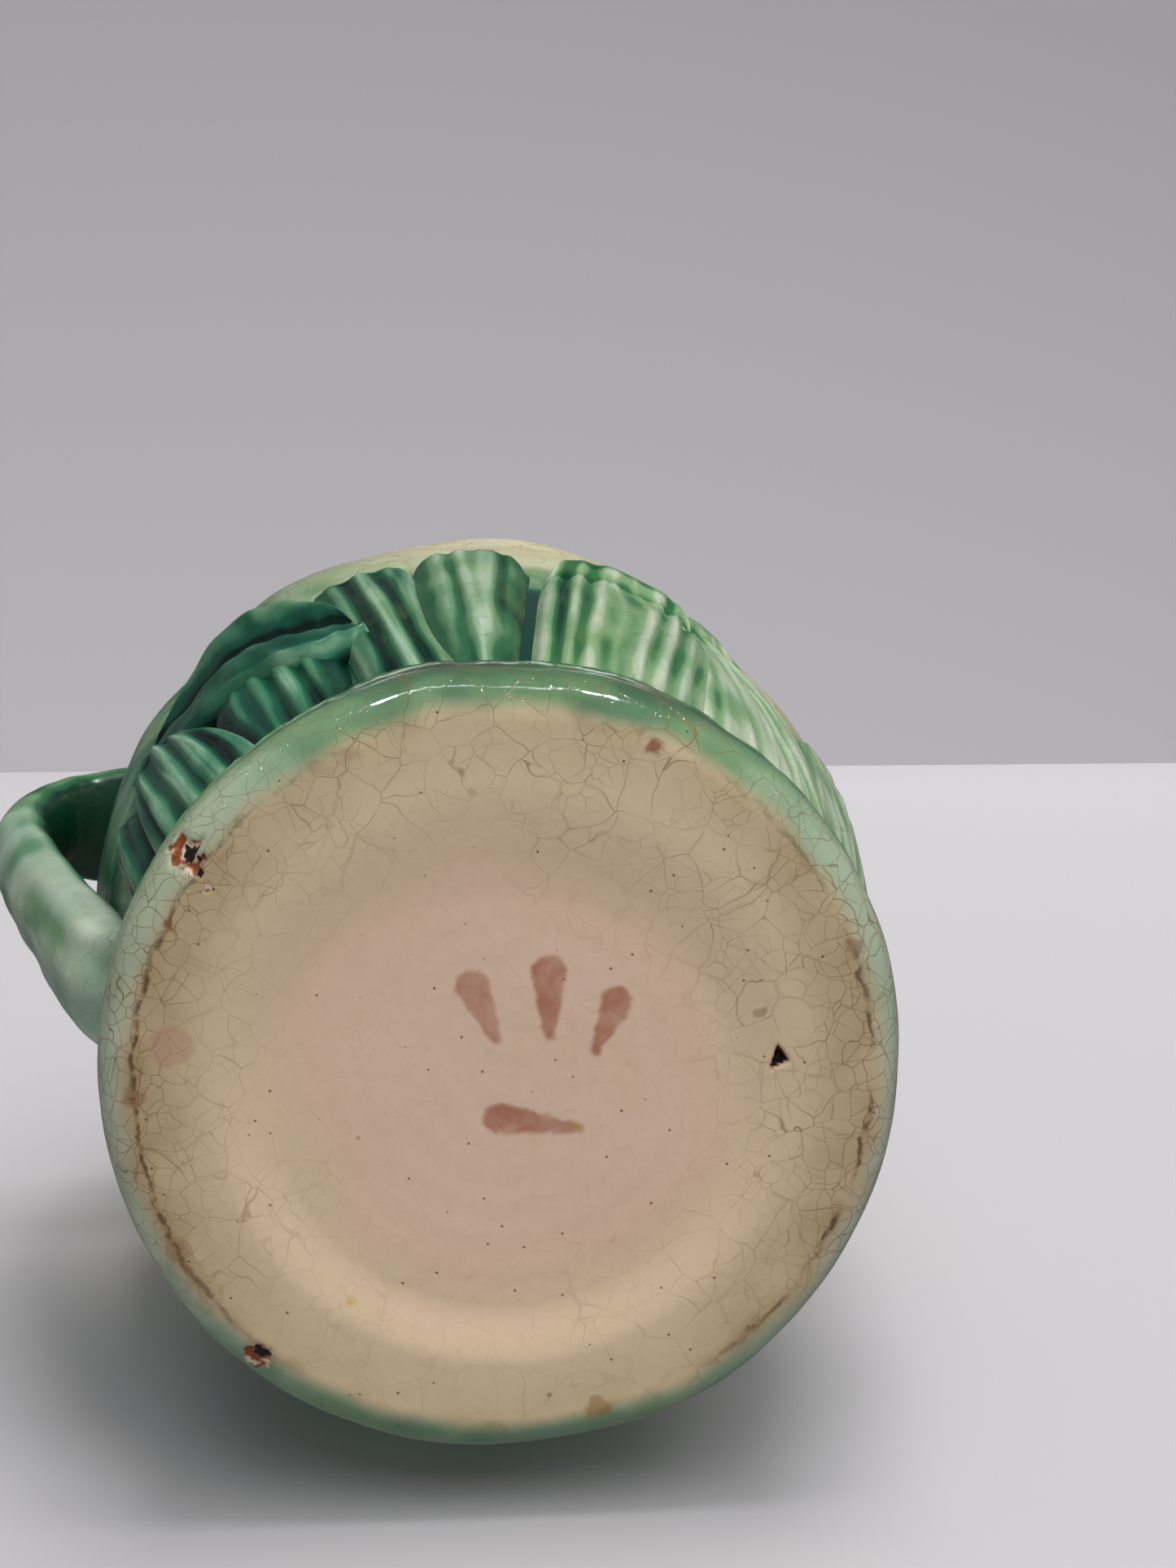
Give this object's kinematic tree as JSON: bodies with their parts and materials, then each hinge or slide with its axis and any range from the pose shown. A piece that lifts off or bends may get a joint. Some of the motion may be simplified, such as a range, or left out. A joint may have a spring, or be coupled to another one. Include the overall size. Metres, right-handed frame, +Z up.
{
  "type": "ceramic pitcher",
  "caption": "Glazed earthenware pitcher with a pulled side handle, a drawn pouring lip, a hollowed foot disc and a sleeve of applied husk leaves round the lower belly.",
  "frame": {"origin": "centre of the whole footprint on the resting plane; the jug's own axis is 5 mm towards +X from it, because the handle reaches further out than the lip", "axes": "+Z up along the jug's axis, +X towards the pouring lip, -X towards the handle"},
  "size_m": [0.13, 0.1036, 0.1528],
  "materials": {
    "foot_glaze": "gloss, crackled cream with a green edge",
    "body_glaze": "gloss, pale yellow",
    "handle_glaze": "gloss, pooled green",
    "leaf_glaze": "gloss, pooled green, paler on the ribs",
    "folded_leaf_glaze": "gloss, deep teal green"
  },
  "bodies": {
    "root": {"foot_disc": "foot_glaze", "body_wall": "body_glaze", "handle": "handle_glaze", "husk_leaf_front": "leaf_glaze", "husk_leaf_right_1": "leaf_glaze", "husk_leaf_right_2": "leaf_glaze", "husk_leaf_right_3": "leaf_glaze", "husk_leaf_right_4": "leaf_glaze", "husk_leaf_right_5": "leaf_glaze", "husk_leaf_right_6": "leaf_glaze", "husk_leaf_right_7": "leaf_glaze", "husk_leaf_right_8": "leaf_glaze", "husk_leaf_left_1": "leaf_glaze", "husk_leaf_left_2": "leaf_glaze", "husk_leaf_left_3": "leaf_glaze", "husk_leaf_left_4": "leaf_glaze", "husk_leaf_left_5": "leaf_glaze", "husk_leaf_left_6": "leaf_glaze", "husk_leaf_left_7": "leaf_glaze", "husk_leaf_left_8": "leaf_glaze", "folded_leaf_right": "folded_leaf_glaze", "folded_leaf_left": "folded_leaf_glaze"}
  },
  "joints": []
}
